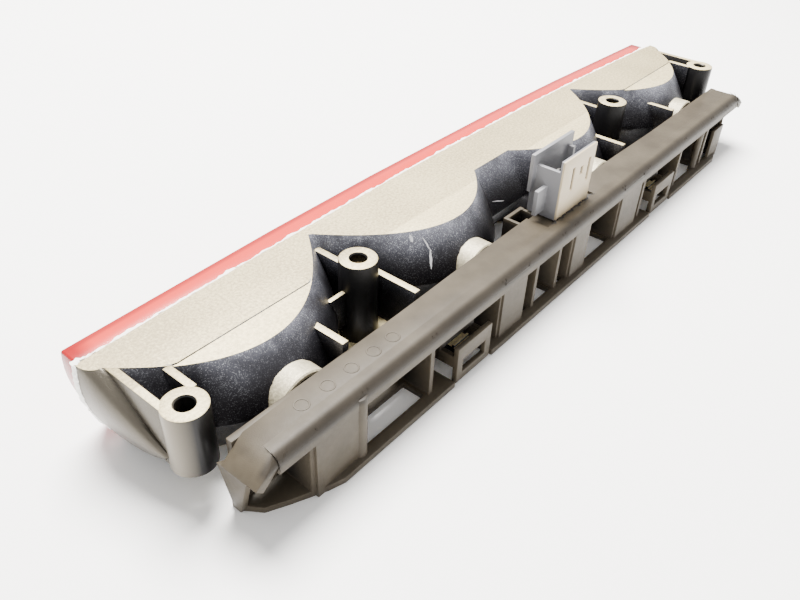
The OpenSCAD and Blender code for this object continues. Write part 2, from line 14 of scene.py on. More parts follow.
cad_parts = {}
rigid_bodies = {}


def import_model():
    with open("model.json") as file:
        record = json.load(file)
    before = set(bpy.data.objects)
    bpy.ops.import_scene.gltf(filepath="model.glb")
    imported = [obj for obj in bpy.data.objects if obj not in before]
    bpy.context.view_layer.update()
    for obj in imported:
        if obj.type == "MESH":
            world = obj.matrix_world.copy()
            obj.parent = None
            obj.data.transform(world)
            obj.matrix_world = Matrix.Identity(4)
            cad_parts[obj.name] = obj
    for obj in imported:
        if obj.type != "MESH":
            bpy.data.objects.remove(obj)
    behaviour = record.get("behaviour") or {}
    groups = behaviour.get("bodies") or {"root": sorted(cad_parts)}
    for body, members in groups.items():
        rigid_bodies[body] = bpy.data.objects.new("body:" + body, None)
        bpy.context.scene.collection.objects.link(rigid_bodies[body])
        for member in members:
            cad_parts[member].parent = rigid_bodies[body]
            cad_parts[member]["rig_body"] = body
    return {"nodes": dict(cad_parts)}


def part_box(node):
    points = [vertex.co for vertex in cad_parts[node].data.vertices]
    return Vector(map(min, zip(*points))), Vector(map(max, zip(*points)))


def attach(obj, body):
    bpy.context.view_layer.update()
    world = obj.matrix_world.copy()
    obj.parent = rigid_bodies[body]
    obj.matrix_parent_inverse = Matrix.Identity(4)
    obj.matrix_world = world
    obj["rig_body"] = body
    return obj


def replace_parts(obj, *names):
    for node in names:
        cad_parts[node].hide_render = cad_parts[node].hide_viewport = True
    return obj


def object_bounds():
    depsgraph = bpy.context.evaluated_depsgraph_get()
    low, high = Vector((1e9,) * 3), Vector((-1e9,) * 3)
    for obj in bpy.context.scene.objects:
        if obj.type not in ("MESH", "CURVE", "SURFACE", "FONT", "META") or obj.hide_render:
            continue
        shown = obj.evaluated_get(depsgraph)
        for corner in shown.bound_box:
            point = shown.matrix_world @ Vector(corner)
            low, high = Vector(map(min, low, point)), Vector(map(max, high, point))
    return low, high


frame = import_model()
nodes = frame["nodes"]
cad_low, cad_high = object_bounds()
scene = bpy.context.scene

# ---- camera, floor and light -------------------------------------------------------------
# A hand-held camera above the lamp's back, a pale floor under it and soft light from overhead.

camera_data = bpy.data.cameras.new("camera")
camera_data.sensor_width = 36
camera_data.lens = 34.25
camera = bpy.data.objects.new("camera", camera_data)
scene.collection.objects.link(camera)
scene.camera = camera
camera.location = (0.2249, 0.1283, 0.1644)
camera_aim = Vector((0.0193, -0.0344, -0.0360))
camera_roll = math.radians(2.31)
look = (camera_aim - camera.location).to_track_quat("-Z", "Y")
camera.rotation_euler = (look @ Quaternion((0, 0, 1), camera_roll)).to_euler()


class Value:
    """A shader socket that Python's own operators combine into Math nodes."""

    def __init__(self, finish, socket):
        self.finish = finish
        self.socket = socket

    def math(self, operation, first, second=0.0):
        return self.finish.add("ShaderNodeMath", {"operation": operation}, {0: first, 1: second})

    def __add__(self, other):
        return self.math("ADD", self, other)

    __radd__ = __add__

    def __sub__(self, other):
        return self.math("SUBTRACT", self, other)

    def __rsub__(self, other):
        return self.math("SUBTRACT", other, self)

    def __mul__(self, other):
        return self.math("MULTIPLY", self, other)

    __rmul__ = __mul__


class Finish:
    """One material: a principled shader with its constants, and one method that adds any node."""

    def __init__(self, name, **constants):
        self.material = bpy.data.materials.new(name)
        self.material.use_nodes = True
        self.tree = self.material.node_tree
        self.shader = self.tree.nodes["Principled BSDF"]
        for socket, value in constants.items():
            self.shader.inputs[socket.replace("_", " ")].default_value = value

    def add(self, kind, settings, inputs, output=0):
        node = self.tree.nodes.new(kind)
        for name, value in settings.items():
            setattr(node, name, value)
        for name, value in inputs.items():
            self.feed(node.inputs[name], value)
        return Value(self, node.outputs[output])

    def feed(self, socket, value):
        if isinstance(value, Value):
            self.tree.links.new(value.socket, socket)
        else:
            socket.default_value = value

    def varies(self, **inputs):
        for socket, value in inputs.items():
            self.feed(self.shader.inputs[socket.replace("_", " ")], value)

    def coordinates(self):
        return self.add("ShaderNodeTexCoord", {}, {}, "Object")

    def place(self, axis):
        """Place along one axis of the shared frame, in millimetres."""
        split = self.add("ShaderNodeSeparateXYZ", {}, {"Vector": self.coordinates()}, axis)
        return split * 1000

    def reach(self):
        """Distance from the lamp's middle along its length, in millimetres."""
        across = self.place("X")
        return across.math("ABSOLUTE", across)

    def speckle(self, scale, detail=2.0, roughness=0.5):
        return self.add("ShaderNodeTexNoise", {"noise_dimensions": "3D"},
                        {"Vector": self.coordinates(), "Scale": scale, "Detail": detail,
                         "Roughness": roughness}, "Fac")

    def flakes(self, scale):
        """Random grey from 0 to 1 for each small cell of the surface."""
        cell = self.add("ShaderNodeTexVoronoi", {"feature": "F1"},
                        {"Vector": self.coordinates(), "Scale": scale}, "Color")
        return self.add("ShaderNodeSeparateColor", {}, {"Color": cell}, "Red")

    def blend(self, amount, first, second):
        """Colour between two colours."""
        return self.add("ShaderNodeMix", {"data_type": "RGBA"},
                        {"Factor": amount, 6: first, 7: second}, 2)

    def between(self, amount, low, high):
        """Number that runs from low to high as amount runs from 0 to 1."""
        return self.add("ShaderNodeMapRange", {}, {"Value": amount, "To Min": low, "To Max": high})

    def ramp(self, amount, start, end):
        """0 below start, 1 above end and a straight line between."""
        return self.add("ShaderNodeMapRange", {},
                        {"Value": amount, "From Min": start, "From Max": end})

    def bump(self, height, strength, distance=0.0002):
        return self.add("ShaderNodeBump", {},
                        {"Height": height, "Strength": strength, "Distance": distance}, "Normal")


floor_paint = Finish("floor_paint", Roughness=0.9)
floor_paint.varies(Base_Color=floor_paint.blend(floor_paint.speckle(3.0, 3.0),
                                                (0.97, 0.97, 0.965, 1), (0.93, 0.93, 0.925, 1)))
floor_mesh = bmesh.new()
bmesh.ops.create_grid(floor_mesh, x_segments=2, y_segments=2, size=6)
floor_data = bpy.data.meshes.new("floor")
floor_mesh.to_mesh(floor_data)
floor_mesh.free()
floor_data.materials.append(floor_paint.material)
floor = bpy.data.objects.new("floor", floor_data)
floor.location.z = cad_low.z
scene.collection.objects.link(floor)

world = bpy.data.worlds.new("studio")
scene.world = world
world.use_nodes = True
sky = world.node_tree.nodes["Background"]
sky.inputs["Color"].default_value = (1.0, 0.99, 0.98, 1)
sky.inputs["Strength"].default_value = 1.3

overhead_data = bpy.data.lights.new("overhead", "AREA")
overhead_data.shape = "DISK"
overhead_data.size = 0.7
overhead_data.energy = 78
overhead_data.color = (1.0, 0.975, 0.94)
overhead = bpy.data.objects.new("overhead", overhead_data)
overhead.location = (-0.15, -0.35, 1.0)
overhead.rotation_euler = (-overhead.location).to_track_quat("-Z", "Y").to_euler()
scene.collection.objects.link(overhead)

# ---- reflector housing -------------------------------------------------------------------
# One moulding of black plastic with a vacuum-deposited aluminium film: four parabolic bowls
# between two flat plates, with its bosses, ribs, catches and bulb collars on the back.

MM = 0.001
housing_height = 32.0
lens_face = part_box("lens")[0].y
upper_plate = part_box("housing")[0].z + housing_height * MM
LAMP = Matrix.Translation((0, lens_face, upper_plate)) @ Matrix.Scale(MM, 4)
CREASE = math.radians(38)


def piece(shape, name, body, slot, *finishes):
    """Places a finished shape in the shared frame, gives it its finishes and lets it ride."""
    bmesh.ops.transform(shape, matrix=LAMP, verts=shape.verts)
    for face in shape.faces:
        face.smooth = True
    for edge in shape.edges:
        edge.smooth = not (edge.is_manifold and edge.calc_face_angle() > CREASE)
    mesh = bpy.data.meshes.new(name)
    shape.to_mesh(mesh)
    shape.free()
    for finish in finishes:
        mesh.materials.append(finish.material)
    thing = bpy.data.objects.new(name, mesh)
    scene.collection.objects.link(thing)
    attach(thing, body)
    return thing


inner_x = 41.25
outer_x = 124.85
half_length = 166.25
bulb_x = (-outer_x, -inner_x, inner_x, outer_x)
bulb_level = -17.5
bowl_depth = 42.5
bowl_focus = 15.06
bowl_flare = 10.0
cheek_flare = 13.2
plate_wall = 2.0
recess_depth = 27.5
recess_half = inner_x - math.sqrt((bowl_depth - recess_depth) * 4 * bowl_focus)
end_draw = 8.4
widest_drop = 7.0
cusp_x = (inner_x + outer_x) / 2
bow_radius = 2836.0
seam_depth = 9.4
corner_reach = 4.0
cheek_reach = 12.0


def bow(x):
    return bow_radius - math.sqrt(bow_radius ** 2 - x * x)


def seam(x):
    return seam_depth + bow(x)


def end_x(drop):
    return half_length - end_draw * ((drop - widest_drop) / (housing_height - widest_drop)) ** 2


def plate_edge(x):
    if abs(x) < recess_half:
        return recess_depth
    return max(bowl_depth - (x - bulb) ** 2 / (4 * bowl_focus) for bulb in bulb_x)


def swell(drop):
    return 1 - abs(1 - 2 * drop / housing_height) ** 1.15


def flank(x, drop):
    cheek = max(0, abs(x) - (end_x(drop) - corner_reach - cheek_reach)) / cheek_reach
    return plate_edge(x) + swell(drop) * (bowl_flare + cheek_flare * cheek ** 2)


straight_share = 0.955
cheek_foot = seam(half_length) + 0.3


def back_point(share, drop):
    """Point of the back edge at one level, for a share from -1 to 1 of the lamp's length."""
    last = end_x(drop) - corner_reach
    if abs(share) <= straight_share:
        x = last * share / straight_share
        return x, flank(x, drop)
    angle = math.radians(90) * (abs(share) - straight_share) / (1 - straight_share)
    x = last + corner_reach * math.sin(angle)
    return math.copysign(x, share), cheek_foot + (flank(last, drop) - cheek_foot) * math.cos(angle)


step_depth = 32.4
step_fall = 0.35
step_run = 0.16
row_gap = 0.35
step_start_x = cusp_x + 4
plate_count = 5
flank_rows = 18


def plate_point(share, drop, rank):
    """Point of a plate, from the seam at rank 0 to the back edge at the last rank."""
    x, edge = back_point(share, drop)
    front = seam(x)
    if rank == plate_count - 1:
        y = edge
    else:
        room = edge - row_gap * (plate_count - 1 - rank)
        step_start = step_depth - step_run / 2
        y = (front, (front + step_depth) / 2, step_start, step_start + step_run)[rank]
        y = max(front, min(room, y))
    stepped = rank >= 3 and abs(x) > step_start_x and edge > step_depth
    return x, y, -step_fall if stepped else 0.0


def skin_point(share, row):
    """Point of the housing's skin: upper plate, then down the flank, then the lower plate."""
    if row < plate_count:
        return plate_point(share, 0, row)
    if row < plate_count + flank_rows:
        drop = housing_height * (row - plate_count + 1) / flank_rows
        x, y = back_point(share, drop)
        return x, y, -drop
    rank = plate_count - 2 - (row - plate_count - flank_rows)
    x, y, fall = plate_point(share, housing_height, rank)
    return x, y, -housing_height - fall


# The two films fade with the place on the lamp, in the shared frame's millimetres. The plates' pale film
# is painted light and the flanks' near-black film is painted shade.
plate_level = upper_plate * 1000
face_place = lens_face * 1000
lit_plate_film = Finish("lit_plate_film", Metallic=0.25)
grain = lit_plate_film.speckle(1150, 4, 0.75)
cloud = lit_plate_film.speckle(26, 3)
behind_step = lit_plate_film.ramp(lit_plate_film.place("Y"), face_place + 32.2, face_place + 32.6)
tone = lit_plate_film.ramp(grain * 0.90 + cloud * 0.25, 0.44, 0.70)
near_end = lit_plate_film.ramp(lit_plate_film.place("X"), 40, 165)
lit_plate_film.varies(
    Base_Color=lit_plate_film.blend(tone * 0.62 + behind_step * 0.30 - near_end * 0.16,
                                (0.25, 0.205, 0.110, 1), (0.70, 0.595, 0.340, 1)),
    Roughness=lit_plate_film.between(cloud, 0.44, 0.58),
    Normal=lit_plate_film.bump(grain, 0.5, 0.00012))

shaded_flank_film = Finish("shaded_flank_film", Metallic=0.7)
height = shaded_flank_film.place("Z")
# Painted sheen and painted glints gather near the upper plate, and painted shade takes them away towards
# the lamp's ends; the end cheeks get an even dark brown-grey.
near_edge = shaded_flank_film.ramp(height, plate_level - 12, plate_level - 1)
pocket_shade = shaded_flank_film.ramp(shaded_flank_film.reach(), 136, 146)
near_edge = near_edge * near_edge * (1 - pocket_shade * 0.85)
cheek_side = shaded_flank_film.ramp(shaded_flank_film.reach(), 158.0, 160.5)
flake = shaded_flank_film.flakes(5200)
patch = shaded_flank_film.ramp(shaded_flank_film.speckle(75, 4, 0.6), 0.36, 0.66)
glint = shaded_flank_film.ramp(flake, 0.80, 1.0) * (near_edge * 0.85 + 0.10) * (patch * 0.8 + 0.2)
sheen = shaded_flank_film.blend(near_edge * (patch * 0.7 + 0.3),
                         (0.008, 0.007, 0.009, 1), (0.25, 0.255, 0.305, 1))
sparkling = shaded_flank_film.blend(glint, sheen, (0.92, 0.95, 1.0, 1))
shaded_flank_film.varies(
    Base_Color=shaded_flank_film.blend(cheek_side * 0.95, sparkling, (0.085, 0.075, 0.058, 1)),
    Roughness=shaded_flank_film.between(shaded_flank_film.speckle(45, 3), 0.30, 0.46),
    Normal=shaded_flank_film.bump(shaded_flank_film.flakes(4600), 0.35, 0.00008))

shaded_boss_film = Finish("shaded_boss_film", Metallic=0.55)
# The bosses' sides are painted shade, with painted light on the sides that face out towards the lamp's
# ends.
outward_lit = shaded_boss_film.ramp(shaded_boss_film.reach() - shaded_boss_film.place("Y") * 0.35, 152.6, 159.0)
shaded_boss_film.varies(
    Base_Color=shaded_boss_film.blend(outward_lit, (0.008, 0.0075, 0.008, 1), (0.17, 0.15, 0.115, 1)),
    Roughness=shaded_boss_film.between(shaded_boss_film.speckle(60, 3), 0.30, 0.42),
    Normal=shaded_boss_film.bump(shaded_boss_film.speckle(2600, 3), 0.25, 0.00008))


def lit_from_above(shape, least=0.75):
    """Faces that look up or down get the plates' pale film as painted light, and the rest the dark film as
    painted shade.
    """
    for face in shape.faces:
        face.material_index = 0 if abs(face.normal.z) > least else 1


def bevelled(shape, width, sharper_than=30, segments=2, clamp=True):
    """Rounds every edge of the mesh that is sharper than the given angle."""
    sharp = [edge for edge in shape.edges
             if edge.is_manifold and edge.calc_face_angle() > math.radians(sharper_than)]
    bmesh.ops.bevel(shape, geom=sharp, offset=width, offset_type="OFFSET", segments=segments,
                    profile=0.5, affect="EDGES", clamp_overlap=clamp, material=-1)


skin = bmesh.new()
columns = 272
rows = plate_count + flank_rows + plate_count - 1
bmesh.ops.create_grid(skin, x_segments=columns, y_segments=rows - 1, size=1)
for vertex in skin.verts:
    row = round((vertex.co.y + 1) / 2 * (rows - 1))
    vertex.co = skin_point(vertex.co.x, row)
bmesh.ops.remove_doubles(skin, verts=skin.verts, dist=0.02)
bmesh.ops.recalc_face_normals(skin, faces=skin.faces)
upward = max(skin.faces, key=lambda face: face.calc_center_median().z)
if upward.normal.z < 0:
    bmesh.ops.reverse_faces(skin, faces=skin.faces)
hole_in_flank = 9.45
hole_margin = 3


def from_bulb(point):
    """Nearest bulb's axis to a point, and the point's offset from it across the lamp."""
    nearest = min(bulb_x, key=lambda x: abs(point.x - x))
    return nearest, Vector((point.x - nearest, 0, point.z - bulb_level))


holes = [face for face in skin.faces if abs(face.normal.z) < 0.9
         and from_bulb(face.calc_center_median())[1].length < hole_in_flank]
bmesh.ops.delete(skin, geom=holes, context="FACES")
for vertex in skin.verts:
    nearest, offset = from_bulb(vertex.co)
    if vertex.is_boundary and 0 < offset.length < hole_in_flank + hole_margin and vertex.co.z < 0:
        offset = offset.normalized() * hole_in_flank
        vertex.co.x = nearest + offset.x
        vertex.co.z = bulb_level + offset.z
bevelled(skin, 0.35, 38)
bmesh.ops.remove_doubles(skin, verts=skin.verts, dist=0.01)
bmesh.ops.recalc_face_normals(skin, faces=skin.faces)
bmesh.ops.solidify(skin, geom=list(skin.faces), thickness=plate_wall)
for vertex in skin.verts:
    vertex.co.z = min(0, max(-housing_height, vertex.co.z))
skin.normal_update()
lit_from_above(skin, 0.95)
shell = piece(skin, "reflector_shell", "root", "metallised_plastic", lit_plate_film, shaded_flank_film)
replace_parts(shell, "housing")

end_boss = (half_length - 10.4, 45.4)
mid_boss = (cusp_x, 35.2)
mid_boss_rise = 0.7
boss_radius = 6.2
hole_radius = 2.6
mid_bore = -14
end_boss_foot = -20
mid_boss_foot = -29
bore_ease = 0.4
rim_ease = 0.5
foot_ease = 0.3


def boss_rim(top):
    """Outline across a boss's top from its hole to its side, with both rims eased."""
    return [(hole_radius, top - bore_ease), (hole_radius + bore_ease, top), (boss_radius - rim_ease, top),
            (boss_radius - rim_ease * 0.3, top - rim_ease * 0.3), (boss_radius, top - rim_ease)]


def added(shape, part):
    """Moves a part's geometry into another mesh."""
    mesh = bpy.data.meshes.new("part")
    part.to_mesh(mesh)
    part.free()
    shape.from_mesh(mesh)
    bpy.data.meshes.remove(mesh)


def turned(shape, profile, place, steps, axis="Z"):
    """Solid of revolution: a closed or axis-to-axis outline of (radius, level), spun full circle."""
    part = bmesh.new()
    verts = [part.verts.new((radius, 0, level)) for radius, level in profile]
    edges = [part.edges.new(pair) for pair in zip(verts, verts[1:])]
    if profile[0][0] > 0 and profile[-1][0] > 0:
        edges.append(part.edges.new((verts[-1], verts[0])))
    bmesh.ops.spin(part, geom=verts + edges, cent=(0, 0, 0), axis=(0, 0, 1), dvec=(0, 0, 0),
                   angle=math.tau, steps=steps, use_merge=True, use_duplicate=False)
    bmesh.ops.remove_doubles(part, verts=part.verts, dist=0.0005)
    bmesh.ops.recalc_face_normals(part, faces=part.faces)
    turn = Matrix() if axis == "Z" else Matrix.Rotation(math.radians(-90), 4, "X")
    bmesh.ops.transform(part, matrix=Matrix.Translation(place) @ turn, verts=part.verts)
    added(shape, part)


through_boss = [(hole_radius, end_boss_foot), *boss_rim(0), (boss_radius, end_boss_foot + foot_ease),
                (boss_radius - foot_ease, end_boss_foot)]
blind_boss = [(0, mid_bore), (hole_radius, mid_bore), *boss_rim(mid_boss_rise),
              (boss_radius + 0.25, mid_boss_foot), (0, mid_boss_foot)]
bosses = bmesh.new()
for side in (-1, 1):
    turned(bosses, through_boss, (side * end_boss[0], end_boss[1], 0), 64)
    turned(bosses, blind_boss, (side * mid_boss[0], mid_boss[1], 0), 64)
lit_from_above(bosses)
piece(bosses, "housing_bosses", "root", "metallised_plastic", lit_plate_film, shaded_boss_film)

collar_bore = 8.5
collar_outer = 10.2
collar_start = 38
collar_length = 16
collar_ease = 0.4
collar_outline = [(collar_bore, 0), (collar_bore, collar_length - collar_ease),
                  (collar_bore + collar_ease, collar_length), (collar_outer - collar_ease, collar_length),
                  (collar_outer, collar_length - collar_ease), (collar_outer, 0)]
collars = bmesh.new()
for x in bulb_x:
    turned(collars, collar_outline, (x, collar_start, bulb_level), 72, "Y")
collar_film = Finish("collar_film", Metallic=0.3)
collar_grain = collar_film.ramp(collar_film.speckle(1150, 4, 0.75), 0.40, 0.66)
# Painted light on the collars' upper part, fading to painted shade lower down.
collar_lit_top = collar_film.ramp(collar_film.place("Z"), plate_level - 14, plate_level - 8.5)
collar_film.varies(Base_Color=collar_film.blend(collar_grain * 0.5 + collar_lit_top * 0.5,
                                                (0.13, 0.115, 0.080, 1), (0.56, 0.50, 0.35, 1)),
                   Roughness=collar_film.between(collar_film.speckle(60, 3), 0.40, 0.52),
                   Normal=collar_film.bump(collar_grain, 0.45, 0.00012))
piece(collars, "bulb_collars", "root", "metallised_plastic", collar_film)


def slab(shape, low, high, rounding):
    """Box between two corners with rounded edges, added to a mesh."""
    part = bmesh.new()
    bmesh.ops.create_cube(part, size=1)
    size = Vector(high) - Vector(low)
    middle = (Vector(high) + Vector(low)) / 2
    bmesh.ops.transform(part, verts=part.verts,
                        matrix=Matrix.Translation(middle) @ Matrix.Diagonal((*size, 1)))
    bevelled(part, rounding)
    added(shape, part)


# Ribs, gussets and feet are thin webs of the same moulding, with eased edges.
rib_wall = 2.4
rib_ease = 0.25
rib_start = 34.5
rib_foot = -22
rib_top = -6
collar_end = collar_start + collar_length
lower_plate = plate_wall - housing_height
end_rib = end_boss[0] + boss_radius / 2
inner_rib = end_boss[0] - boss_radius
webs = [
    # (start x, end x), (front, back), (foot, top) of each web on the right half
    ((end_rib, end_rib + rib_wall), (20.5, end_boss[1] - 2.6), (-19.5, -0.06)),
    ((inner_rib, inner_rib + rib_wall), (31.5, end_boss[1] - 3), (-16, -0.06)),
    ((cusp_x - rib_wall / 2, cusp_x + rib_wall / 2), (15, mid_boss[1] - 5.2), (lower_plate, -4)),
    ((cusp_x + 5.2, cusp_x + 13), (mid_boss[1] - 1.2, mid_boss[1] + 0.4), (rib_foot, -9)),
    ((cusp_x - 14, cusp_x + 14), (24.2, 47.2), (lower_plate, lower_plate + plate_wall)),
    ((outer_x - 16 - rib_wall / 2, outer_x - 16 + rib_wall / 2), (rib_start, collar_end),
     (rib_foot, rib_top)),
]
ribs = bmesh.new()
for side in (-1, 1):
    for across, along, levels in webs:
        low_x, high_x = sorted(side * x for x in across)
        slab(ribs, (low_x, along[0], levels[0]), (high_x, along[1], levels[1]), rib_ease)
for x in (-cusp_x + 23, cusp_x - 6):
    slab(ribs, (x - rib_wall / 2, rib_start, rib_foot), (x + rib_wall / 2, collar_end, rib_top), rib_ease)
lit_from_above(ribs)
piece(ribs, "housing_ribs", "root", "metallised_plastic", lit_plate_film, shaded_flank_film)

# The two catches are stout tongues that reach under the carrier, each with a nose on its end.
latch_x = inner_x + 27.8
catch_top = -24
catch_half = 4
catch_depth = 5.6
nose_front = 65.4
catches = bmesh.new()
for side in (-1, 1):
    low_x = side * latch_x - catch_half
    high_x = side * latch_x + catch_half
    slab(catches, (low_x, 30.5, catch_top - catch_depth), (high_x, 68, catch_top), 0.4)
    slab(catches, (low_x, nose_front, catch_top - 2), (high_x, nose_front + 1, catch_top + 0.9), 0.3)
lit_from_above(catches)
piece(catches, "housing_catches", "root", "metallised_plastic", lit_plate_film, shaded_flank_film)

# Pale scuffs where the film was scraped off one bowl and the recess's wall.
scuff_pale = Finish("scuff_pale", Roughness=0.6)
scuff_pale.varies(Base_Color=scuff_pale.blend(scuff_pale.speckle(900, 3),
                                              (0.42, 0.42, 0.44, 1), (0.90, 0.90, 0.92, 1)))

ribbon_lift = 0.08


def ribbon(shape, points, width, lift):
    """Thin strip through points that faces the given lift, pointed at both ends."""
    lift = Vector(lift)
    rows = []
    for index, point in enumerate(points):
        ahead = Vector(points[min(index + 1, len(points) - 1)])
        behind = Vector(points[max(index - 1, 0)])
        across = (ahead - behind).cross(lift).normalized()
        share = index / (len(points) - 1)
        half = width / 2 * (0.25 + 0.75 * math.sin(math.pi * share))
        middle = Vector(point) + lift * ribbon_lift
        rows.append([shape.verts.new(middle + across * half), shape.verts.new(middle - across * half)])
    for first, second in zip(rows, rows[1:]):
        shape.faces.new((first[0], first[1], second[1], second[0]))


scuff_steps = 10
scuff_wander = 0.25


def scuff(shape, start, end, width):
    """Scratch on the flank between two places given as (x, drop)."""
    points = []
    for step in range(scuff_steps + 1):
        share = step / scuff_steps
        wander = scuff_wander * noise.noise(Vector((share * 9, width, 0)))
        x = start[0] + (end[0] - start[0]) * share + wander
        drop = start[1] + (end[1] - start[1]) * share
        points.append((x, flank(x, drop), -drop))
    slope = (flank(start[0] + 1, start[1]) - flank(start[0] - 1, start[1])) / 2
    ribbon(shape, points, width, Vector((-slope, 1, 0)).normalized())


scuffs = bmesh.new()
scuff(scuffs, (60.4, 0.9), (60.6, 3.0), 1.1)
scuff(scuffs, (57.2, 2.2), (56.4, 6.5), 0.5)
scuff(scuffs, (56.6, 6.0), (58.6, 11.5), 0.9)
scuff(scuffs, (8.6, 11.4), (1.9, 13.4), 0.7)
bmesh.ops.recalc_face_normals(scuffs, faces=scuffs.faces)
piece(scuffs, "film_scuffs", "root", "metallised_plastic", scuff_pale)

# ---- red lens ----------------------------------------------------------------------------
# Injection-moulded clear red cover, bowed along its length, with a fluted optic moulded on
# the inside of its face. Its rim is welded to the housing's front edge.

red_lens = Finish("red_lens", Roughness=0.22, Transmission_Weight=0.25, IOR=1.49,
                  Specular_IOR_Level=0.3)
from_face = red_lens.place("Y") - red_lens.reach() * red_lens.reach() * (0.5 / bow_radius)
front_line = red_lens.ramp(from_face, face_place + 3.0, face_place + 1.6)
corner_glow = red_lens.ramp(red_lens.reach(), 157, 162)
body_red = red_lens.blend(red_lens.speckle(70, 3), (0.72, 0.050, 0.034, 1), (0.64, 0.036, 0.026, 1))
edge_red = red_lens.blend(front_line * 0.8, body_red, (0.30, 0.012, 0.012, 1))
red_lens.varies(Base_Color=red_lens.blend(corner_glow * 0.9, edge_red, (0.30, 0.001, 0.004, 1)),
                Normal=red_lens.bump(red_lens.speckle(500, 2), 0.06, 0.0001))


def softened(node, name, slot, width, *finishes, segments=2, sharper_than=30):
    """A CAD node's own shape with its triangles merged and its sharp edges rounded."""
    shape = bmesh.new()
    shape.from_mesh(nodes[node].data)
    bmesh.ops.transform(shape, matrix=LAMP.inverted(), verts=shape.verts)
    bmesh.ops.remove_doubles(shape, verts=shape.verts, dist=0.0008)
    bmesh.ops.dissolve_limit(shape, angle_limit=math.radians(0.8), use_dissolve_boundaries=False,
                             verts=shape.verts, edges=shape.edges, delimit={"NORMAL"})
    bevelled(shape, width, sharper_than, segments, clamp=False)
    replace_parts(piece(shape, name, nodes[node]["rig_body"], slot, *finishes), node)


softened("lens", "lens_cover", "red_lens", 0.7, red_lens, segments=3)

lens_wall = 2.2
flute_pitch = 5.0
flute_depth = 0.9
band_pitch = 6.0
band_depth = 0.5
optic_margin = 4.2
optic = bmesh.new()
bmesh.ops.create_grid(optic, x_segments=640, y_segments=44, size=1)
for vertex in optic.verts:
    drop = optic_margin + (housing_height - 2 * optic_margin) * (1 - vertex.co.y) / 2
    x = vertex.co.x * (end_x(drop) - 4.6)
    flute = abs(math.sin(math.pi * x / flute_pitch)) * flute_depth
    band = abs(math.sin(math.pi * drop / band_pitch)) * band_depth
    vertex.co = (x, lens_wall + bow(x) - 0.1 + (flute + band), -drop)
bmesh.ops.recalc_face_normals(optic, faces=optic.faces)
piece(optic, "lens_optic", "root", "red_lens", red_lens)

# ---- seam bead ---------------------------------------------------------------------------
# Pale adhesive squeezed out along the seam between lens and housing. It dried ragged, with
# lumps at the corners.

adhesive = Finish("adhesive", Roughness=0.75)
adhesive.varies(
    Base_Color=adhesive.blend(adhesive.ramp(adhesive.speckle(420, 3), 0.30, 0.36),
                              (0.50, 0.46, 0.38, 1), (0.93, 0.92, 0.88, 1)),
    Normal=adhesive.bump(adhesive.speckle(900, 3), 0.6, 0.0002))

top_span = 0.46


def front_path(share):
    """Point of the lamp's front outline for a share from 0 to 1 of the way round."""
    if share < top_span:
        return (share / top_span * 2 - 1) * end_x(0), 0.0
    if share < 0.5:
        drop = (share - top_span) / (0.5 - top_span) * housing_height
        return end_x(drop), drop
    if share < 0.5 + top_span:
        return (1 - (share - 0.5) / top_span * 2) * end_x(housing_height), housing_height
    drop = housing_height - (share - 0.5 - top_span) / (0.5 - top_span) * housing_height
    return -end_x(drop), drop


bead = bmesh.new()
bead_inset = 0.45
lump_depth = 1.15
lump_height = 0.75
bmesh.ops.create_grid(bead, x_segments=900, y_segments=10, size=1)
for vertex in bead.verts:
    share = (vertex.co.x + 1) / 2 % 1.0
    turn = math.tau * (vertex.co.y + 1) / 2
    x, drop = front_path(share)
    corner_lump = max(0, 1 - (half_length - abs(x)) / 9) * 0.5
    lump = 0.50 + 0.55 * noise.noise(Vector((x * 0.11, drop * 0.2, 3))) + corner_lump
    lump += 0.35 * noise.noise(Vector((x * 0.6, drop * 0.6, turn)))
    lump += (0.20 + 1.2 * corner_lump) * noise.noise(Vector((x * 1.9, drop * 1.9, turn)))
    lump = max(0.25, lump)
    depth = seam(min(abs(x), half_length)) - 0.5 + 0.6 * noise.noise(Vector((x * 0.3, drop, 9)))
    depth += lump * lump_depth * math.cos(turn)
    swelling = lump * lump_height * math.sin(turn)
    if 0 < drop < housing_height:
        vertex.co = (x - math.copysign(bead_inset, x) + math.copysign(swelling, x), depth, -drop)
    elif drop < housing_height / 2:
        vertex.co = (x, depth, -bead_inset + swelling)
    else:
        vertex.co = (x, depth, bead_inset - housing_height - swelling)
bmesh.ops.remove_doubles(bead, verts=bead.verts, dist=0.0005)
bmesh.ops.recalc_face_normals(bead, faces=bead.faces)
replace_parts(piece(bead, "glue_bead", "root", "adhesive", adhesive), "seam_bead")

# ---- threaded inserts --------------------------------------------------------------------
# Turned brass bushes pressed into the two middle bosses, for screws that hold the lamp.
# Their threads are left as plain bores.

insert_brass = Finish("insert_brass", Metallic=1.0)
insert_brass.varies(Base_Color=insert_brass.blend(insert_brass.speckle(300, 2),
                                                  (0.66, 0.50, 0.26, 1), (0.78, 0.62, 0.36, 1)),
                    Roughness=insert_brass.between(insert_brass.speckle(900, 2), 0.25, 0.4))


def wears(node, finish):
    """A CAD node keeps its shape and gets its finish."""
    data = nodes[node].data
    data.materials.clear()
    data.materials.append(finish.material)


for name in ("insert_left", "insert_right"):
    wears(name, insert_brass)

# ---- bulb carrier ------------------------------------------------------------------------
# Black moulded frame with a fine spark-eroded texture, a little dusty on its upper faces, with painted
# shade in the bays behind its rails.

carrier_black = Finish("carrier_black", Specular_IOR_Level=0.22)
dust = carrier_black.ramp(carrier_black.speckle(55, 4, 0.6), 0.35, 0.75)
outer_face = carrier_black.ramp(carrier_black.place("Y"), face_place + 61, face_place + 69)
rail_face = carrier_black.ramp(carrier_black.place("Z"), plate_level - 9.5, plate_level - 8)
end_face = carrier_black.ramp(carrier_black.reach(), 149, 153)
lower_face = carrier_black.ramp(carrier_black.place("Z"), plate_level - 29.5, plate_level - 31.2)
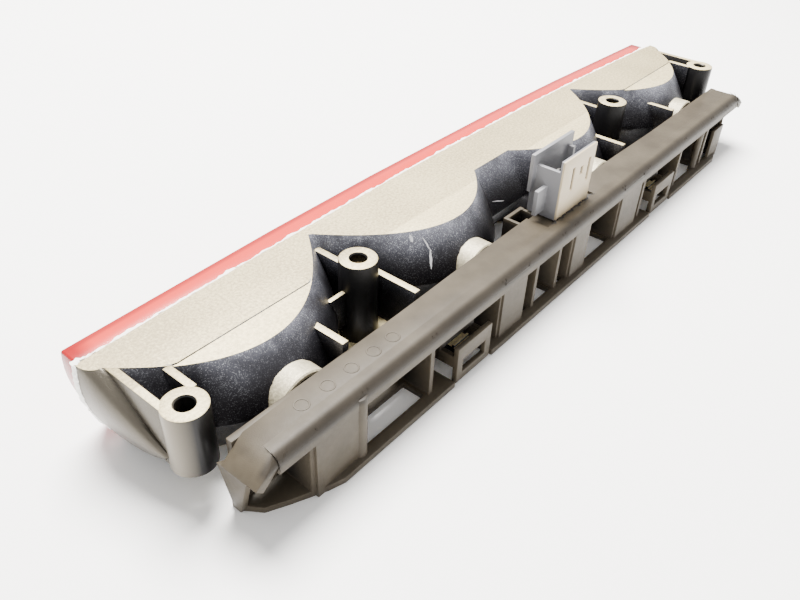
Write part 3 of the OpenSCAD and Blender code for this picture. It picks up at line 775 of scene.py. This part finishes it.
# Painted shade: away from the outer, rail, end and lower faces the frame goes near-black, and the rail's
# rounded back is painted darker.
painted_bay_shade = (1 - outer_face) * (1 - rail_face) * (1 - end_face) * (1 - lower_face)
nose_shade = (carrier_black.ramp(carrier_black.place("Y"), face_place + 66.8, face_place + 68.4)
              * carrier_black.ramp(carrier_black.place("Z"), plate_level - 11.2, plate_level - 9.8))
dusty = carrier_black.blend(dust, (0.040, 0.032, 0.021, 1), (0.074, 0.061, 0.042, 1))
carrier_black.varies(
    Base_Color=carrier_black.blend(painted_bay_shade * 0.88 + nose_shade * 0.62, dusty, (0.006, 0.005, 0.005, 1)),
    Roughness=carrier_black.between(carrier_black.speckle(700, 3), 0.42, 0.56),
    Normal=carrier_black.bump(carrier_black.speckle(3200, 2), 0.35, 0.00008))
softened("carrier", "carrier_frame", "carrier_plastic", 0.22, carrier_black, sharper_than=50)

# The rail's rounded back is one clean sheet over the moulding's own edge.
rail_back = 70.0
rail_round = 3.5
rail_lip = 12.8
rail_half = 149.0
rail_level = -7.0
sheet_lift = 0.12
round_steps = 12
nose = [(64.2, rail_level + 0.01), (65.4, rail_level + 0.1)]
for step in range(round_steps + 1):
    turn = math.radians(90 - 90 / round_steps * step)
    nose.append((rail_back - rail_round + sheet_lift + rail_round * math.cos(turn),
                 rail_level - rail_round + sheet_lift + rail_round * math.sin(turn)))
nose += [(rail_back + sheet_lift, -rail_lip + 0.3), (rail_back - 0.2, -rail_lip - 0.05)]
edge = bmesh.new()
stations = [[edge.verts.new((x, y, z)) for y, z in nose] for x in (-rail_half, 0, rail_half)]
for first, second in zip(stations, stations[1:]):
    for index in range(len(nose) - 1):
        edge.faces.new((first[index], first[index + 1], second[index + 1], second[index]))
bmesh.ops.recalc_face_normals(edge, faces=edge.faces)
piece(edge, "rail_edge", "carrier", "carrier_plastic", carrier_black)

# Round ejector marks stand a hair proud of the rail, and a near-black ribbon along the wavy seam behind
# the header is a painted shadow of the gap.
mark_ring = [(1.7, -0.05), (1.8, 0.12), (2.0, 0.17), (2.2, 0.12), (2.3, -0.05)]
mark_line = 61.3
marks = bmesh.new()
for x in (133.0, 123.6, 114.5, 105.5, 97.4):
    turned(marks, mark_ring, (x, mark_line, rail_level), 40)
piece(marks, "ejector_marks", "carrier", "carrier_plastic", carrier_black)

gap_shadow = Finish("gap_shadow", Roughness=0.7)
gap_shadow.varies(Base_Color=gap_shadow.blend(gap_shadow.speckle(600, 2),
                                          (0.004, 0.004, 0.004, 1), (0.012, 0.011, 0.010, 1)))
seam_steps = 80
seam_path = []
for step in range(seam_steps + 1):
    x = 14.0 - 30.0 * step / seam_steps
    wave = 0.55 * math.sin(x * 1.1) + 0.25 * math.sin(x * 2.7)
    seam_path.append((x, 63.3 + wave, rail_level))
notch_gap_shadow = bmesh.new()
ribbon(notch_gap_shadow, seam_path, 1.1, (0, 0, 1))
bmesh.ops.recalc_face_normals(notch_gap_shadow, faces=notch_gap_shadow.faces)
piece(notch_gap_shadow, "notch_gap_shadow", "carrier", "carrier_plastic", gap_shadow)

for side in ("left", "right"):
    softened("latch_" + side, "latch_arm_" + side, "carrier_plastic", 0.25, carrier_black)

# ---- connector header --------------------------------------------------------------------
# Light grey moulding in a harder plastic, standing in the carrier's notch. The outer side of its back wall
# is painted paler and warmer than the rest, as light falling on it from behind, and its inside and slot
# sides are painted shade.

connector_grey = Finish("connector_grey", Specular_IOR_Level=0.5)
depth = connector_grey.place("Y") - face_place
across = connector_grey.place("X")
back_wall = connector_grey.ramp(depth, 62.2, 62.4)
within = connector_grey.ramp(across, -9.8, -9.4) * connector_grey.ramp(across, 8.8, 8.4)
# Painted shade inside the header and on the sides of its slots.
inside = within * connector_grey.ramp(depth, 53.0, 53.4) * connector_grey.ramp(depth, 61.2, 60.9)
below_rim = connector_grey.ramp(connector_grey.place("Z"), plate_level + 14.4, plate_level + 14.1)
slot_sides = within * below_rim * connector_grey.ramp(depth, 60.9, 61.2) * (1 - back_wall)
outer_grey = connector_grey.blend(connector_grey.speckle(90, 3),
                                  (0.150, 0.152, 0.163, 1), (0.195, 0.195, 0.207, 1))
lit_grey = connector_grey.blend(back_wall, outer_grey, (0.46, 0.375, 0.245, 1))
connector_grey.varies(
    Base_Color=connector_grey.blend(inside * 0.55 + slot_sides * 0.95, lit_grey, (0.020, 0.020, 0.026, 1)),
    Roughness=connector_grey.between(connector_grey.speckle(600, 2), 0.38, 0.5),
    Normal=connector_grey.bump(connector_grey.speckle(2500, 2), 0.2, 0.00006))
softened("connector_shell", "connector_header", "connector_plastic", 0.22, connector_grey)

# ---- contact strips and pins -------------------------------------------------------------
# Two stamped brass strips run behind the web and feed the bulbs, and two tinned pins
# in the header take the loom's plug.

strip_brass = Finish("strip_brass", Metallic=1.0)
strip_brass.varies(Base_Color=strip_brass.blend(strip_brass.speckle(120, 3),
                                                (0.60, 0.43, 0.20, 1), (0.76, 0.58, 0.30, 1)),
                   Roughness=strip_brass.between(strip_brass.speckle(500, 3), 0.22, 0.42))
tin_plate = Finish("tin_plate", Metallic=1.0)
tin_plate.varies(Base_Color=tin_plate.blend(tin_plate.speckle(400, 2),
                                            (0.66, 0.64, 0.60, 1), (0.80, 0.78, 0.74, 1)),
                 Roughness=tin_plate.between(tin_plate.speckle(900, 2), 0.2, 0.36))
for name in ("track_live", "track_earth"):
    softened(name, name + "_strip", "contact_strip", 0.08, strip_brass, segments=1)
for name in ("pin_live", "pin_earth"):
    softened(name, name + "_blade", "tinned_pin", 0.12, tin_plate)

# ---- wedge bulbs -------------------------------------------------------------------------
# Clear glass blown and pinched into a wedge base, a coiled filament on two posts, and two
# lead wires folded back over the wedge.

bulb_glass = Finish("bulb_glass", Transmission_Weight=1.0, IOR=1.45)
bulb_glass.varies(Roughness=bulb_glass.between(bulb_glass.speckle(200, 2), 0.01, 0.05))
filament_wire = Finish("filament_wire", Metallic=1.0)
filament_wire.varies(Base_Color=filament_wire.blend(filament_wire.speckle(800, 2),
                                                    (0.30, 0.30, 0.33, 1), (0.45, 0.45, 0.47, 1)),
                     Roughness=filament_wire.between(filament_wire.speckle(900, 2), 0.25, 0.4))
lead_wire = Finish("lead_wire", Metallic=1.0)
lead_wire.varies(Base_Color=lead_wire.blend(lead_wire.speckle(800, 2),
                                            (0.55, 0.53, 0.47, 1), (0.68, 0.66, 0.60, 1)),
                 Roughness=lead_wire.between(lead_wire.speckle(900, 2), 0.25, 0.4))
for number in (1, 2, 3, 4):
    wears(f"bulb_{number}", bulb_glass)
    wears(f"filament_{number}", filament_wire)
    wears(f"leads_{number}", lead_wire)
